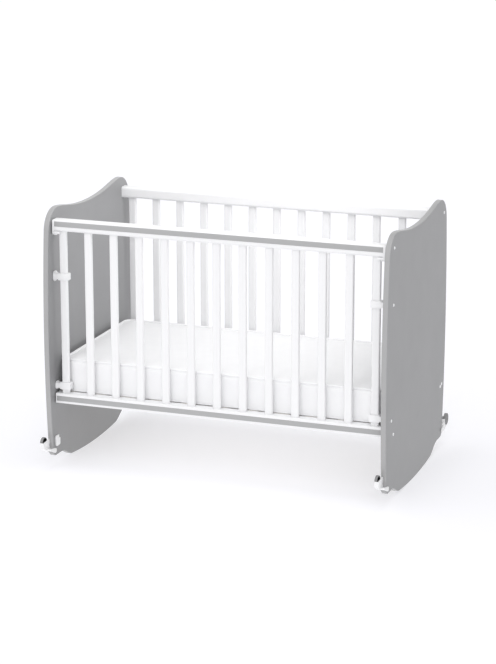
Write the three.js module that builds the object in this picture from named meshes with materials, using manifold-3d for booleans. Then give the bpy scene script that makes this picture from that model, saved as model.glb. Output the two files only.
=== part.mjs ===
// A rocking crib for a 600 x 1200 mm mattress: two board ends that stand on rockers, a fixed rear side,
// a front side that slides down in four guides, a slatted base, and a fold-down caster at each corner.
// Millimetres. +X runs along the crib to its right end, -Y is the front, +Z is up.
// The origin is on the floor, under the middle of the crib.

import * as THREE from 'three';
import { mergeVertices } from 'three/addons/utils/BufferGeometryUtils.js';
import Module from 'manifold-3d';

const wasm = await Module();
wasm.setup();

// Clearances
const FIT = 0.3; // between fixed pieces that touch
const SLIDE_FIT = 0.6; // around a bar in its guide
const TURN_FIT = 0.4; // around a pin that something turns on

// Crib
const INNER_LENGTH = 1205; // between the end boards
const BOARD = 18; // end board thickness

// Mattress
const MATTRESS = { width: 600, height: 120, end: 2.5 };
const MATTRESS_CROWN = 4;
const MATTRESS_DRAWN = 7;
const MATTRESS_CORNER = 45; // corners seen from above
const MATTRESS_SHOULDER = [6, 40, 120]; // from the edge, where its top rises to the crown
const PIPING = 4.5;

// Bars
const BAR_COUNT = 13;
const END_BAR_INSET = 36.6; // end bar's middle to the end board
const BAR_WIDTH = 28;
const BAR_DEPTH = 14;
const BAR_ROUND = 5;
const BARS_MIDDLE = -3.5; // midway between the two rows of bars
const BARS_CLEAR = 3.5; // between a row and the mattress
const MORTISE = 15; // how far a bar goes into its rail
const MORTISE_ROUND = 2;
const BARS_OUT = MATTRESS.width / 2 + BARS_CLEAR + BAR_DEPTH / 2;
const FRONT_BARS_Y = BARS_MIDDLE - BARS_OUT;
const REAR_BARS_Y = BARS_MIDDLE + BARS_OUT;

// End board outline, half of it, as distance from the middle and height
const ROCKER_RADIUS = 1835;
const ROCKER_FLAT = 20; // half of the flat that it comes to rest on
const ROCKER_HALF = 200;
const BEYOND_BARS = 60.7; // its widest part, beyond the front bars
const TOE_INSET = { outer: 44.7, inner: 82.7 }; // the flat toe, in from the widest part
const SHOULDER_INSET = 99.7; // the same for the top of the shoulder
const WAIST_HALF = BEYOND_BARS - FRONT_BARS_Y; // widest, at half height
const TOE_END = WAIST_HALF - TOE_INSET.inner;
const TOE_HEIGHT = 44;
const CORNER_START = WAIST_HALF - TOE_INSET.outer;
const CORNER_HEIGHT = 70;
const WAIST_HEIGHT = 468;
const SIDE_RADIUS = 4360;
const SHOULDER_HEIGHT = 856;
const SHOULDER_TOP = 932.5;
const SHOULDER_IN = WAIST_HALF - SHOULDER_INSET;
const DIP_HEIGHT = 904;
const BOARD_EDGE = 1.5; // eased edge
const PIVOT_IN = 9.5; // caster pivot from the board's edge
const PIVOT_UP = 22; // caster pivot from the toe's underside

// How far the outline's curves are drawn out past their ends
const TOE_PULL = { rocker: 28, rise: 3.5, toe: 40 };
const SHOULDER_PULL = { lean: 3, up: 44, out: 45 };
const DIP_PULL = { shoulder: 60, middle: 150 };

// Rails
const RAIL_DEPTH = 40;
const FRONT_SIDE = { bottom: 238, top: 898, topRail: 41, bottomRail: 36 };
const REAR_SIDE = { bottom: 220, top: 895, topRail: 41, bottomRail: 44 };
const RAIL_ROUND = 9;
const SMALL_ROUND = 4;

// Coloured strips let into the front rails
const STRIP_HEIGHT = 17.4;
const STRIP_DEPTH = 3;
const STRIP_PROUD = 0.5;
const TOP_STRIP_DOWN = 15.3; // its middle below the top of the rail
const BOTTOM_STRIP_END = 4; // rail beyond each end of the strip

// Release at each end of the front top rail
const HOUSING_GAP = 4; // to the end board
const HOUSING_PLATE = 8;
const HOUSING_ROUND = 5; // its end, seen from the front
const LOBE_DROP = 10;
const LOBE_LENGTH = 28;
const HOUSING_WALL = 2;
const BUTTON = { height: 8, proud: 4, round: 3, play: 0.5 };
const KEEPER = { width: 26, down: 4, height: 52, thick: 2.6, round: 5 };

// Guides that the end bars slide in
const UPPER_GUIDE_DOWN = 163; // its middle below the top rail
const LOWER_GUIDE_UP = 26; // its middle above the bottom rail
const GUIDE_FOOT = { width: 30, thick: 4, upper: 36, lower: 28, round: 11 };
const GUIDE_NECK = 17;
const GUIDE_RING = 25;
const GUIDE_WALL = 5;
const GUIDE_CHAMFER = 2;

// Slatted base
const BASE_RAIL = { depth: 22, bottom: 230, top: 262, clear: 2 };
const SLAT_COUNT = 11;
const SLAT_WIDTH = 55;
const SLAT_THICK = 12;
const BATTEN = { width: 20, drop: 12 };
const BASE_END_GAP = 6;

// Casters
const ARM_REACH = 62;
const ARM_ANGLE = 39.5; // degrees above level when folded right up
const REAR_ARM_DROP = 13; // the rear arms rest this much lower
const FORK_WIDTH = 28;
const FORK_PLAY = 0.8; // each side of the board
const CHEEK = { length: 44, round: 3 }; // the low cheek on the closed side of the hood
const BRIDGE_RADIUS = 28.8; // clears the board's corner as the arm swings
const EAR_RADIUS = 8.5;
const NECK_PULL = { out: 18, up: 8 }; // draws the arm's upper edge down in the middle
const HOOD_RADIUS = 24.4;
const HOOD_WALL = 2.2;
const HOOD_SIDE = { closed: -1.5, wall: 3, open: 14 };
const HOOD_ROOT = 215; // degrees round the hood where the arm's upper edge runs in
const HOOD_RIM = { outer: 5.5, inner: 10 }; // above the wheel's centre
const HOOD_BACK = 0; // the same for the wall towards the board
const PIVOT_PIN = { radius: 3, head: 5, proud: 1 };
const WHEEL = { radius: 21, width: 10, middle: 10.6, bore: 3.4, hub: 6.5, rim: 18.5, hollow: 7.5, round: 1.5 };
const AXLE_RADIUS = 3;
const CATCH = { width: 32, height: 38.5, thick: 6, round: 6, in: 16.5, up: 13.5, step: 9, stepHeight: 13 };

const WHITE = 0xf1f1f2;
const paint = (name, color, roughness, metalness = 0) =>
  new THREE.MeshStandardMaterial({ name, color, roughness, metalness });
const materials = {
  board: paint('grey_board', 0x9c9c9d, 0.55),
  whiteWood: paint('white_wood', WHITE, 0.4),
  strip: paint('grey_strip', 0xb2b2b3, 0.5),
  whitePlastic: paint('white_plastic', 0xeeeeef, 0.35),
  wheel: paint('grey_wheel', 0x8d8d8e, 0.6),
  slat: paint('bare_wood', 0xd8c39c, 0.7),
  cloth: paint('mattress_cloth', 0xf4f4f5, 0.9),
};

const BOARD_INNER = INNER_LENGTH / 2;
const BOARD_MID = BOARD_INNER + BOARD / 2;
const SIDES = { left: -1, right: 1 };

const crib = new THREE.Group();
crib.name = 'rocking_crib';

// Shape and solid helpers

// Turns a geometry drawn in local x, y and extruded along z so that it lies in Y, Z and runs along X.
const ALONG_X = new THREE.Matrix4().makeBasis(
  new THREE.Vector3(0, 1, 0), new THREE.Vector3(0, 0, 1), new THREE.Vector3(1, 0, 0));
// The same for a shape drawn in X, Z that runs along -Y.
const ALONG_Y = new THREE.Matrix4().makeBasis(
  new THREE.Vector3(1, 0, 0), new THREE.Vector3(0, 0, 1), new THREE.Vector3(0, -1, 0));

function extrude(shape, length, options = {}) {
  const geometry = new THREE.ExtrudeGeometry(shape, { depth: length, bevelEnabled: false, ...options });
  return geometry.translate(0, 0, -length / 2);
}

const extrudeX = (shape, length, options) => extrude(shape, length, options).applyMatrix4(ALONG_X);
const extrudeY = (shape, length, options) => extrude(shape, length, options).applyMatrix4(ALONG_Y);

function roundedRect(x0, y0, x1, y1, r) {
  const shape = new THREE.Shape();
  shape.moveTo(x0 + r, y0).lineTo(x1 - r, y0);
  shape.absarc(x1 - r, y0 + r, r, -Math.PI / 2, 0, false);
  shape.absarc(x1 - r, y1 - r, r, 0, Math.PI / 2, false);
  shape.absarc(x0 + r, y1 - r, r, Math.PI / 2, Math.PI, false);
  shape.absarc(x0 + r, y0 + r, r, Math.PI, 1.5 * Math.PI, false);
  return shape;
}

function box(x0, x1, y0, y1, z0, z1) {
  return new THREE.BoxGeometry(x1 - x0, y1 - y0, z1 - z0)
    .translate((x0 + x1) / 2, (y0 + y1) / 2, (z0 + z1) / 2);
}

function rodX(radius, x0, x1, y, z, sides = 16) {
  return new THREE.CylinderGeometry(radius, radius, x1 - x0, sides)
    .rotateZ(Math.PI / 2).translate((x0 + x1) / 2, y, z);
}

function solid(geometry) {
  const bare = geometry.clone();
  bare.deleteAttribute('normal');
  bare.deleteAttribute('uv');
  const merged = mergeVertices(bare, 1e-4);
  return new wasm.Manifold(new wasm.Mesh({
    numProp: 3,
    vertProperties: new Float32Array(merged.attributes.position.array),
    triVerts: new Uint32Array(merged.index.array),
  }));
}

function fromSolid(body) {
  const mesh = body.getMesh();
  const geometry = new THREE.BufferGeometry();
  geometry.setAttribute('position', new THREE.BufferAttribute(new Float32Array(mesh.vertProperties), 3));
  geometry.setIndex(new THREE.BufferAttribute(new Uint32Array(mesh.triVerts), 1));
  geometry.computeVertexNormals();
  return geometry;
}

function cut(geometry, tools) {
  return fromSolid(tools.reduce((body, tool) => body.subtract(solid(tool)), solid(geometry)));
}

function join(geometries) {
  return fromSolid(geometries.map(solid).reduce((body, piece) => body.add(piece)));
}

// The same solid on the other end, and on the other side, of the crib.
const mirrorX = (geometry) => fromSolid(solid(geometry).mirror([1, 0, 0]));
const mirrorY = (geometry) => fromSolid(solid(geometry).mirror([0, 1, 0]));

function add(name, geometry, material, parent = crib) {
  const mesh = new THREE.Mesh(geometry, material);
  mesh.name = name;
  parent.add(mesh);
  return mesh;
}

const grownBy = (size, gap) => size + 2 * gap;

// End boards

// Half the board's width at a height.
const edgeAt = (z) => WAIST_HALF - SIDE_RADIUS + Math.sqrt(SIDE_RADIUS ** 2 - (z - WAIST_HEIGHT) ** 2);
const PIVOT_OUT = edgeAt(CORNER_HEIGHT) - PIVOT_IN;
const PIVOT_HEIGHT = TOE_HEIGHT + PIVOT_UP;

function boardOutline() {
  const centre = Math.sqrt(ROCKER_RADIUS ** 2 - ROCKER_FLAT ** 2);
  const rockerAngle = (d) => Math.asin(d / ROCKER_RADIUS) - Math.PI / 2;
  const rocker = new THREE.EllipseCurve(0, centre, ROCKER_RADIUS, ROCKER_RADIUS,
    rockerAngle(ROCKER_FLAT), rockerAngle(ROCKER_HALF));
  const rockerEnd = rocker.getPoint(1);
  const sideAngle = (z) => Math.asin((z - WAIST_HEIGHT) / SIDE_RADIUS);
  const shoulderEdge = edgeAt(SHOULDER_HEIGHT);
  const v = (d, z) => new THREE.Vector2(d, z);
  const toe = new THREE.CubicBezierCurve(rockerEnd,
    v(rockerEnd.x + TOE_PULL.rocker, rockerEnd.y + TOE_PULL.rise),
    v(TOE_END - TOE_PULL.toe, TOE_HEIGHT), v(TOE_END, TOE_HEIGHT));
  const corner = new THREE.QuadraticBezierCurve(v(CORNER_START, TOE_HEIGHT),
    v(edgeAt(TOE_HEIGHT), TOE_HEIGHT), v(edgeAt(CORNER_HEIGHT), CORNER_HEIGHT));
  const flank = new THREE.EllipseCurve(WAIST_HALF - SIDE_RADIUS, WAIST_HEIGHT, SIDE_RADIUS, SIDE_RADIUS,
    sideAngle(CORNER_HEIGHT), sideAngle(SHOULDER_HEIGHT));
  const shoulder = new THREE.CubicBezierCurve(v(shoulderEdge, SHOULDER_HEIGHT),
    v(shoulderEdge - SHOULDER_PULL.lean, SHOULDER_HEIGHT + SHOULDER_PULL.up),
    v(SHOULDER_IN + SHOULDER_PULL.out, SHOULDER_TOP), v(SHOULDER_IN, SHOULDER_TOP));
  const dip = new THREE.CubicBezierCurve(v(SHOULDER_IN, SHOULDER_TOP),
    v(SHOULDER_IN - DIP_PULL.shoulder, SHOULDER_TOP), v(DIP_PULL.middle, DIP_HEIGHT), v(0, DIP_HEIGHT));
  const half = [
    ...rocker.getPoints(8), ...toe.getPoints(7).slice(1), ...corner.getPoints(6),
    ...flank.getPoints(12).slice(1), ...shoulder.getPoints(9).slice(1), ...dip.getPoints(12).slice(1),
  ];
  const mirrored = half.slice(0, -1).reverse().map((p) => v(-p.x, p.y));
  return new THREE.Shape([...half, ...mirrored]);
}

function endBoard(side) {
  const middle = side * BOARD_MID;
  const board = extrudeX(boardOutline(), BOARD - 2 * BOARD_EDGE, {
    bevelEnabled: true, bevelSize: BOARD_EDGE, bevelThickness: BOARD_EDGE, bevelOffset: -BOARD_EDGE,
    bevelSegments: 1,
  }).translate(middle, 0, 0);
  const holes = [-PIVOT_OUT, PIVOT_OUT].map((y) =>
    rodX(PIVOT_PIN.radius + TURN_FIT, middle - BOARD, middle + BOARD, y, PIVOT_HEIGHT));
  return cut(board, holes);
}

for (const [word, side] of Object.entries(SIDES)) {
  add(`${word}_end_board`, endBoard(side), materials.board);
}

// Bars and rails

const barPitch = (INNER_LENGTH - 2 * END_BAR_INSET) / (BAR_COUNT - 1);
const barX = (i) => (i - (BAR_COUNT - 1) / 2) * barPitch;
const FRONT_TOP = { bottom: FRONT_SIDE.top - FRONT_SIDE.topRail, top: FRONT_SIDE.top };
const FRONT_BOTTOM = { bottom: FRONT_SIDE.bottom, top: FRONT_SIDE.bottom + FRONT_SIDE.bottomRail };
const REAR_TOP = { bottom: REAR_SIDE.top - REAR_SIDE.topRail, top: REAR_SIDE.top };
const REAR_BOTTOM = { bottom: REAR_SIDE.bottom, top: REAR_SIDE.bottom + REAR_SIDE.bottomRail };

// A bar's section, or with a gap the section of the hole that it goes through.
function barSection(gap, round) {
  const halfWidth = grownBy(BAR_WIDTH, gap) / 2;
  const halfDepth = grownBy(BAR_DEPTH, gap) / 2;
  return roundedRect(-halfWidth, -halfDepth, halfWidth, halfDepth, round);
}

function upright(x, y, z0, z1, gap = 0, round = BAR_ROUND + gap, curveSegments = 2) {
  return extrude(barSection(gap, round), z1 - z0, { curveSegments }).translate(x, y, (z0 + z1) / 2);
}

function sideMortises(y, low, high) {
  return Array.from({ length: BAR_COUNT }, (_, i) =>
    upright(barX(i), y, low.top - MORTISE - FIT, high.bottom + MORTISE + FIT, FIT, MORTISE_ROUND, 1));
}

function addBars(word, y, low, high, parent = crib) {
  for (let i = 0; i < BAR_COUNT; i++) {
    const number = String(i + 1).padStart(2, '0');
    add(`${word}_bar_${number}`, upright(barX(i), y, low.top - MORTISE, high.bottom + MORTISE),
      materials.whiteWood, parent);
  }
}

function stripGroove(y, z, length) {
  const face = y - RAIL_DEPTH / 2;
  return box(-length / 2, length / 2, face - 1, face + STRIP_DEPTH + FIT,
    z - STRIP_HEIGHT / 2 - FIT, z + STRIP_HEIGHT / 2 + FIT);
}

function strip(y, z, length) {
  const face = y - RAIL_DEPTH / 2;
  return box(-length / 2, length / 2, face - STRIP_PROUD, face + STRIP_DEPTH,
    z - STRIP_HEIGHT / 2, z + STRIP_HEIGHT / 2);
}

const frontSide = new THREE.Group();
crib.add(frontSide);

const topRailLength = INNER_LENGTH - 2 * (HOUSING_GAP + HOUSING_PLATE + FIT);
const bottomRailLength = INNER_LENGTH - 2 * HOUSING_GAP;
const rearRailLength = INNER_LENGTH - 2 * FIT;
const topStripZ = FRONT_TOP.top - TOP_STRIP_DOWN;
const bottomStripZ = (FRONT_BOTTOM.bottom + FRONT_BOTTOM.top) / 2;
const bottomStripLength = bottomRailLength - 2 * BOTTOM_STRIP_END;

function railBlank(y, rail, length, round, curveSegments) {
  const section = roundedRect(y - RAIL_DEPTH / 2, rail.bottom, y + RAIL_DEPTH / 2, rail.top, round);
  return extrudeX(section, length, { curveSegments });
}

const frontMortises = sideMortises(FRONT_BARS_Y, FRONT_BOTTOM, FRONT_TOP);
const topGroove = stripGroove(FRONT_BARS_Y, topStripZ, topRailLength + 2);
const bottomGroove = stripGroove(FRONT_BARS_Y, bottomStripZ, bottomStripLength + 2 * FIT);
const frontTopBlank = railBlank(FRONT_BARS_Y, FRONT_TOP, topRailLength, RAIL_ROUND, 3);
const frontBottomBlank = railBlank(FRONT_BARS_Y, FRONT_BOTTOM, bottomRailLength, SMALL_ROUND, 1);
add('front_top_rail', cut(frontTopBlank, [...frontMortises, topGroove]), materials.whiteWood, frontSide);
add('front_bottom_rail', cut(frontBottomBlank, [...frontMortises, bottomGroove]), materials.whiteWood,
  frontSide);
add('top_rail_strip', strip(FRONT_BARS_Y, topStripZ, topRailLength), materials.strip, frontSide);
add('bottom_rail_strip', strip(FRONT_BARS_Y, bottomStripZ, bottomStripLength), materials.strip, frontSide);
addBars('front', FRONT_BARS_Y, FRONT_BOTTOM, FRONT_TOP, frontSide);

const rearMortises = sideMortises(REAR_BARS_Y, REAR_BOTTOM, REAR_TOP);
const rearTopBlank = railBlank(REAR_BARS_Y, REAR_TOP, rearRailLength, RAIL_ROUND, 3);
const rearBottomBlank = railBlank(REAR_BARS_Y, REAR_BOTTOM, rearRailLength, SMALL_ROUND, 1);
add('rear_top_rail', cut(rearTopBlank, rearMortises), materials.whiteWood);
add('rear_bottom_rail', cut(rearBottomBlank, rearMortises), materials.whiteWood);
addBars('rear', REAR_BARS_Y, REAR_BOTTOM, REAR_TOP);

// Guides: a foot on the end board, a flared neck, and a ring round the end bar

const guides = {
  upper: { z: FRONT_TOP.bottom - UPPER_GUIDE_DOWN, foot: GUIDE_FOOT.upper },
  lower: { z: FRONT_BOTTOM.top + LOWER_GUIDE_UP, foot: GUIDE_FOOT.lower },
};

function guide(side, { z, foot }) {
  const board = -BOARD_INNER + FIT;
  const root = board + GUIDE_FOOT.thick;
  const ringStart = barX(0) - BAR_WIDTH / 2 - SLIDE_FIT - GUIDE_WALL;
  const ringEnd = barX(0) + BAR_WIDTH / 2 + SLIDE_FIT + GUIDE_WALL;
  const [halfNeck, halfRing, halfFoot] = [GUIDE_NECK / 2, GUIDE_RING / 2, foot / 2 - GUIDE_FOOT.round / 2];
  const shape = new THREE.Shape();
  shape.moveTo(root - 1, -halfFoot).lineTo(root, -halfFoot);
  shape.quadraticCurveTo(root + 1, -halfNeck, ringStart, -halfNeck);
  shape.lineTo(ringStart + GUIDE_CHAMFER, -halfRing).lineTo(ringEnd - GUIDE_CHAMFER, -halfRing);
  shape.lineTo(ringEnd, GUIDE_CHAMFER - halfRing).lineTo(ringEnd, halfRing - GUIDE_CHAMFER);
  shape.lineTo(ringEnd - GUIDE_CHAMFER, halfRing).lineTo(ringStart + GUIDE_CHAMFER, halfRing);
  shape.lineTo(ringStart, halfNeck);
  shape.quadraticCurveTo(root + 1, halfNeck, root, halfFoot);
  shape.lineTo(root - 1, halfFoot);
  const depth = grownBy(BAR_DEPTH, SLIDE_FIT + GUIDE_WALL);
  const body = extrudeY(shape, depth, { curveSegments: 4 }).translate(0, FRONT_BARS_Y, z);
  const halfWidth = GUIDE_FOOT.width / 2;
  const plateShape = roundedRect(FRONT_BARS_Y - halfWidth, z - foot / 2,
    FRONT_BARS_Y + halfWidth, z + foot / 2, GUIDE_FOOT.round);
  const plate = extrudeX(plateShape, GUIDE_FOOT.thick, { curveSegments: 3 })
    .translate((board + root) / 2, 0, 0);
  const bore = upright(barX(0), FRONT_BARS_Y, z - foot, z + foot, SLIDE_FIT);
  const left = cut(join([body, plate]), [bore]);
  return side < 0 ? left : mirrorX(left);
}

for (const [word, side] of Object.entries(SIDES)) {
  for (const [level, place] of Object.entries(guides)) {
    add(`${level}_guide_${word}`, guide(side, place), materials.whitePlastic);
  }
}

// Release housings on the ends of the front top rail, each with a button that is pressed up into it

const housingOuter = BOARD_INNER - HOUSING_GAP;
const housingInner = housingOuter - HOUSING_PLATE;
const lobeInner = housingOuter - LOBE_LENGTH;
const lobeBottom = FRONT_TOP.bottom - LOBE_DROP;
const buttonBottom = lobeBottom - BUTTON.proud;
const lobeTop = FRONT_TOP.bottom - FIT;
const lobeWell = -barX(0) + BAR_WIDTH / 2 + FIT + HOUSING_WALL;

function housing(side) {
  const [y0, y1] = [FRONT_BARS_Y - RAIL_DEPTH / 2, FRONT_BARS_Y + RAIL_DEPTH / 2];
  const plate = extrudeX(roundedRect(y0, lobeBottom, y1, FRONT_TOP.top, RAIL_ROUND),
    HOUSING_PLATE, { curveSegments: 3 }).translate(-(housingOuter + housingInner) / 2, 0, 0);
  const lobe = extrudeX(roundedRect(y0, lobeBottom, y1, lobeTop, SMALL_ROUND),
    LOBE_LENGTH, { curveSegments: 1 }).translate(-(housingOuter + lobeInner) / 2, 0, 0);
  const well = box(-housingOuter + HOUSING_WALL, -lobeWell, y0 + 2 * HOUSING_WALL, y1 - 2 * HOUSING_WALL,
    lobeBottom - 1, lobeTop - HOUSING_WALL);
  const bar = upright(barX(0), FRONT_BARS_Y, lobeBottom - 1, lobeTop + 1, FIT, MORTISE_ROUND, 1);
  const outline = roundedRect(-housingOuter, lobeBottom, -lobeInner + HOUSING_ROUND, FRONT_TOP.top,
    HOUSING_ROUND);
  const front = extrudeY(outline, 2 * RAIL_DEPTH, { curveSegments: 3 }).translate(0, FRONT_BARS_Y, 0);
  const block = solid(join([plate, lobe])).intersect(solid(front));
  const left = cut(fromSolid(block), [well, bar]);
  return side < 0 ? left : mirrorX(left);
}

function button(side) {
  const gap = HOUSING_WALL + BUTTON.play;
  const section = roundedRect(-housingOuter + gap, buttonBottom, -lobeWell - BUTTON.play,
    buttonBottom + BUTTON.height, BUTTON.round);
  const width = RAIL_DEPTH - 2 * (gap + HOUSING_WALL);
  const left = extrudeY(section, width, { curveSegments: 2 }).translate(0, FRONT_BARS_Y, 0);
  return side < 0 ? left : mirrorX(left);
}

function keeper(side) {
  const { width, down, height, thick, round } = KEEPER;
  const top = FRONT_TOP.top - down;
  const shape = roundedRect(FRONT_BARS_Y - width / 2, top - height, FRONT_BARS_Y + width / 2, top, round);
  return extrudeX(shape, thick, { curveSegments: 2 }).translate(side * (BOARD_INNER - FIT - thick / 2), 0, 0);
}

for (const [word, side] of Object.entries(SIDES)) {
  add(`release_housing_${word}`, housing(side), materials.whitePlastic, frontSide);
  add(`release_button_${word}`, button(side), materials.whitePlastic, frontSide);
  add(`latch_keeper_${word}`, keeper(side), materials.whitePlastic);
}

// Slatted base: slats on two battens, laid on a rail along each side

const baseFront = FRONT_BARS_Y + RAIL_DEPTH / 2 + BASE_RAIL.clear;
const baseRear = REAR_BARS_Y - RAIL_DEPTH / 2 - FIT;
const slatSeat = BASE_RAIL.top + FIT;

function baseRail(y) {
  return box(-BOARD_INNER + FIT, BOARD_INNER - FIT, y, y + BASE_RAIL.depth, BASE_RAIL.bottom, BASE_RAIL.top);
}

function slattedBase() {
  const halfLength = INNER_LENGTH / 2 - BASE_END_GAP;
  const pitch = (2 * halfLength - SLAT_WIDTH) / (SLAT_COUNT - 1);
  const slats = Array.from({ length: SLAT_COUNT }, (_, i) => {
    const x = (i - (SLAT_COUNT - 1) / 2) * pitch;
    return box(x - SLAT_WIDTH / 2, x + SLAT_WIDTH / 2, baseFront, baseRear, slatSeat, slatSeat + SLAT_THICK);
  });
  const inset = BASE_RAIL.depth + FIT;
  const battens = [baseFront + inset, baseRear - inset - BATTEN.width].map((y) =>
    box(-halfLength, halfLength, y, y + BATTEN.width, slatSeat - BATTEN.drop, slatSeat + SLAT_THICK / 2));
  return join([...battens, ...slats]);
}

add('base_front_rail', baseRail(baseFront), materials.whiteWood);
add('base_rear_rail', baseRail(baseRear - BASE_RAIL.depth), materials.whiteWood);
add('slatted_base', slattedBase(), materials.slat);

// Mattress: boxed, with drawn-in walls, a piped edge above and below, and a low crown

function ring(inset, z, sides = 48) {
  const halfLength = INNER_LENGTH / 2 - MATTRESS.end - inset;
  const halfWidth = MATTRESS.width / 2 - inset;
  const round = Math.max(MATTRESS_CORNER - inset, PIPING);
  const quarter = sides / 4;
  const points = [];
  for (let i = 0; i < sides; i++) {
    const corner = Math.floor(i / quarter);
    const angle = (corner + (i % quarter) / (quarter - 1)) * Math.PI / 2;
    const cx = (corner === 0 || corner === 3 ? 1 : -1) * (halfLength - round);
    const cy = (corner < 2 ? 1 : -1) * (halfWidth - round);
    points.push([cx + round * Math.cos(angle), cy + round * Math.sin(angle), z]);
  }
  return points;
}

function loft(rings) {
  const count = rings[0].length;
  const middle = (points) => [0, 0, points[0][2]];
  const positions = [middle(rings[0]), ...rings.flat(), middle(rings[rings.length - 1])];
  const at = (r, i) => 1 + r * count + (i % count);
  const faces = [];
  for (let i = 0; i < count; i++) {
    faces.push(0, at(0, i + 1), at(0, i));
    for (let r = 0; r < rings.length - 1; r++) {
      faces.push(at(r, i), at(r, i + 1), at(r + 1, i + 1), at(r, i), at(r + 1, i + 1), at(r + 1, i));
    }
    faces.push(positions.length - 1, at(rings.length - 1, i), at(rings.length - 1, i + 1));
  }
  const geometry = new THREE.BufferGeometry();
  geometry.setAttribute('position', new THREE.BufferAttribute(new Float32Array(positions.flat()), 3));
  geometry.setIndex(faces);
  geometry.computeVertexNormals();
  return geometry;
}

function mattress() {
  const bottom = slatSeat + SLAT_THICK + FIT;
  const top = bottom + MATTRESS.height;
  const edge = top - MATTRESS_CROWN;
  const middle = (bottom + edge) / 2;
  const [near, mid, far] = MATTRESS_SHOULDER;
  const rings = [
    ring(far, bottom), ring(near, bottom),
    ring(1, bottom + PIPING * 0.6), ring(1, bottom + PIPING * 1.4),
    ring(MATTRESS_DRAWN * 0.6, bottom + PIPING * 2.2), ring(MATTRESS_DRAWN, middle),
    ring(MATTRESS_DRAWN * 0.6, edge - PIPING * 2.2), ring(1, edge - PIPING * 1.4),
    ring(0, edge - PIPING * 0.6), ring(PIPING / 2, edge + PIPING * 0.3), ring(near, edge),
    ring(mid, edge + MATTRESS_CROWN * 0.5), ring(far, edge + MATTRESS_CROWN * 0.85),
    ring(MATTRESS.width / 2 - 80, top),
  ];
  return loft(rings).translate(0, (FRONT_BARS_Y + REAR_BARS_Y) / 2, 0);
}

add('mattress', mattress(), materials.cloth);

// Casters: an arm forks over the board's corner and turns on a pin through it. Its outer end is a hood,
// closed on one side, that holds the wheel. The wheel is hollow towards the closed side. Drawn round the pivot, with local y pointing away from the
// crib and the arm folded right up.

const reach = new THREE.Vector2(Math.cos(THREE.MathUtils.degToRad(ARM_ANGLE)),
  Math.sin(THREE.MathUtils.degToRad(ARM_ANGLE))).multiplyScalar(ARM_REACH);

const lowerTangent = reach.angle() - Math.acos((EAR_RADIUS - HOOD_RADIUS) / ARM_REACH);

function armOutline() {
  const outerRim = Math.asin(HOOD_RIM.outer / HOOD_RADIUS);
  const innerRim = Math.PI - Math.asin(HOOD_RIM.inner / HOOD_RADIUS);
  const root = THREE.MathUtils.degToRad(HOOD_ROOT);
  const shape = new THREE.Shape();
  shape.absarc(reach.x, reach.y, HOOD_RADIUS, outerRim, lowerTangent, true);
  shape.absarc(0, 0, EAR_RADIUS, lowerTangent, Math.PI / 2, true);
  shape.quadraticCurveTo(NECK_PULL.out, NECK_PULL.up,
    reach.x + HOOD_RADIUS * Math.cos(root), reach.y + HOOD_RADIUS * Math.sin(root));
  shape.absarc(reach.x, reach.y, HOOD_RADIUS, root, innerRim, true);
  return shape;
}

// A band along the arm's lower edge, from the ear to the hood
function cheekOutline() {
  const end = new THREE.Vector2(EAR_RADIUS - CHEEK.round, CHEEK.length)
    .rotateAround(new THREE.Vector2(), lowerTangent);
  const upperTangent = end.angle() + Math.acos((EAR_RADIUS - CHEEK.round) / end.length());
  const shape = new THREE.Shape();
  shape.absarc(end.x, end.y, CHEEK.round, upperTangent, lowerTangent, true);
  shape.absarc(0, 0, EAR_RADIUS, lowerTangent, upperTangent, true);
  return shape;
}

function casterArm() {
  const { closed, wall, open } = HOOD_SIDE;
  const slot = rodX(BRIDGE_RADIUS, -BOARD / 2 - FORK_PLAY, BOARD / 2 + FORK_PLAY, 0, 0, 24);
  const cavity = rodX(HOOD_RADIUS - HOOD_WALL, closed + wall, FORK_WIDTH, reach.x, reach.y, 24);
  const back = box(closed + wall, FORK_WIDTH, reach.x - HOOD_RADIUS - 1, reach.x,
    reach.y + HOOD_BACK, reach.y + HOOD_RADIUS);
  const hood = extrudeX(armOutline(), open - closed, { curveSegments: 8 })
    .translate((open + closed) / 2, 0, 0);
  const fork = extrudeX(cheekOutline(), FORK_WIDTH, { curveSegments: 8 });
  const axle = rodX(AXLE_RADIUS, closed + wall / 2, open - 1, reach.x, reach.y, 12);
  const halfFork = FORK_WIDTH / 2;
  const pin = rodX(PIVOT_PIN.radius, -halfFork + 1, halfFork - 1, 0, 0);
  const head = rodX(PIVOT_PIN.head, halfFork - 1, halfFork + PIVOT_PIN.proud, 0, 0);
  const shell = cut(join([hood, fork]), [slot, cavity, back]);
  return join([shell, axle, pin, head, mirrorX(head)]);
}

function wheel() {
  const half = WHEEL.width / 2;
  const floor = half - WHEEL.hollow;
  const profile = [
    [WHEEL.bore, -half], [WHEEL.radius - WHEEL.round, -half], [WHEEL.radius, -half + WHEEL.round],
    [WHEEL.radius, half - WHEEL.round], [WHEEL.radius - WHEEL.round, half], [WHEEL.rim, half],
    [WHEEL.rim, floor], [WHEEL.hub, floor], [WHEEL.hub, half], [WHEEL.bore, half], [WHEEL.bore, -half],
  ].map(([r, x]) => new THREE.Vector2(r, x));
  return new THREE.LatheGeometry(profile, 20).rotateZ(Math.PI / 2);
}

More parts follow.
